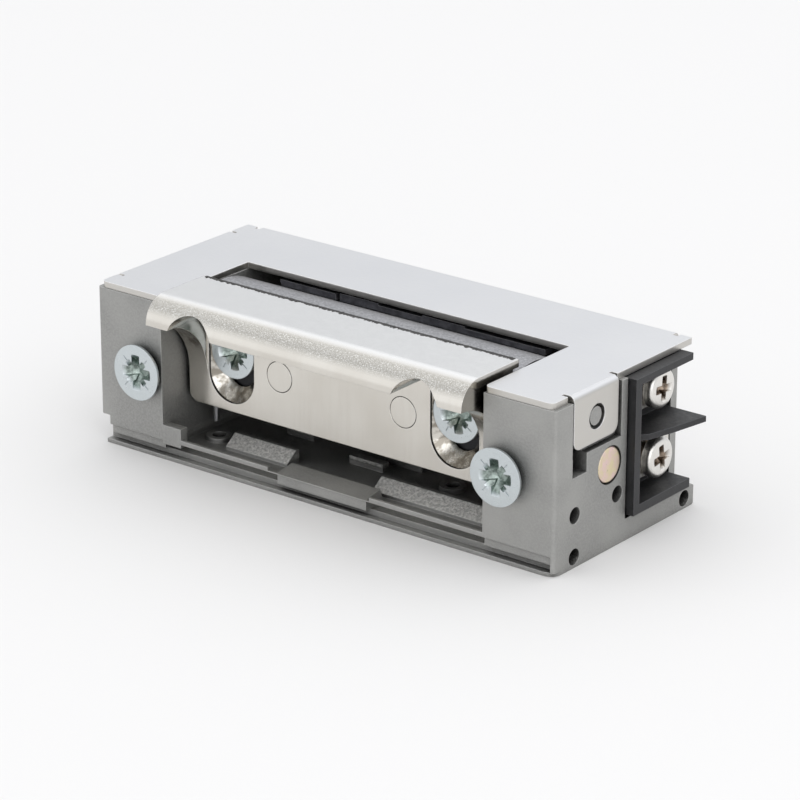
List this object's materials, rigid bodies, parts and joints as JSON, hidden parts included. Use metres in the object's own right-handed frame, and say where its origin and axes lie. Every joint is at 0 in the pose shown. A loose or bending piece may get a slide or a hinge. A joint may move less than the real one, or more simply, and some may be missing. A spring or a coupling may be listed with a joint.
{
  "type": "electric door strike",
  "caption": "Compact electric door strike: cast body with a U-shaped cover, a spring-back keeper with an adjustable latch bracket, a release magnet and a side screw terminal.",
  "frame": {"origin": "centre of the flat base of the housing", "axes": "+X along the body towards the terminal end, +Y from the faceplate side to the back, +Z from the base to the cover"},
  "size_m": [0.0706, 0.0313, 0.0214],
  "materials": {
    "cast_zinc": "matt grey die-cast surface with a fine blasted grain",
    "stainless_sheet": "satin cold-rolled sheet with smooth sheared edges",
    "nickel_plate": "warm nickel plate, smooth faces, faintly pitted roundings",
    "zinc_plated_screws": "blue zinc plate, satin",
    "passivated_steel": "yellow passivated, with a pink and gold tint",
    "black_carrier": "black, satin, fine cast grain",
    "black_plastic": "black moulded plastic",
    "bobbin_plastic": "natural nylon",
    "copper_wire": "enamelled copper wire, wound in layers",
    "soft_iron": "bright soft iron, lightly brushed",
    "spring_steel": "drawn spring wire",
    "nickel_contacts": "nickel-plated steel",
    "wire_insulation": "soft plastic insulation"
  },
  "bodies": {
    "strike_body": {"housing": "cast_zinc", "top_cover": "stainless_sheet", "faceplate_screws": "zinc_plated_screws", "keeper_pins": "passivated_steel", "return_spring_right": "spring_steel", "return_spring_left": "spring_steel", "armature_pin": "spring_steel", "armature_spring": "spring_steel", "magnet_frame": "black_plastic", "coil_bobbin": "bobbin_plastic", "coil_winding": "copper_wire", "coil_core": "soft_iron", "coil_yoke": "soft_iron", "yoke_screws": "zinc_plated_screws", "terminal_block": "black_plastic", "contact_plates": "nickel_contacts", "lead_wires": "wire_insulation"},
    "keeper": {"keeper_carrier": "black_carrier", "clamp_screws": "zinc_plated_screws"},
    "bracket": {"latch_bracket": "nickel_plate", "guide_pins": "nickel_plate"},
    "armature": {"armature": "soft_iron"},
    "screw_lower": {"terminal_screw_lower": "nickel_contacts"},
    "screw_upper": {"terminal_screw_upper": "nickel_contacts"}
  },
  "joints": [
    {"name": "keeper_swing", "type": "hinge", "parent": "strike_body", "child": "keeper", "pos_m": [0, -0.0035, 0.0103], "axis": [-1, 0, 0], "range_deg": [0, 35], "stiffness_Nm_per_rad": 0.04, "springref_deg": -20.05},
    {"name": "bracket_adjust", "type": "slide", "parent": "keeper", "child": "bracket", "axis": [0, 0, 1], "range_m": [0, 0.0025]},
    {"name": "armature_swing", "type": "hinge", "parent": "strike_body", "child": "armature", "pos_m": [0, 0.0113, 0.0152], "axis": [1, 0, 0], "range_deg": [0, 5.1]},
    {"name": "screw_lower_clamp", "type": "slide", "parent": "strike_body", "child": "screw_lower", "axis": [1, 0, 0], "range_m": [0, 0.0012]},
    {"name": "screw_upper_clamp", "type": "slide", "parent": "strike_body", "child": "screw_upper", "axis": [1, 0, 0], "range_m": [0, 0.0012]}
  ],
  "couplings": [
    {"joint": "armature_swing", "follows": "keeper_swing", "ratio": 0.143}
  ]
}
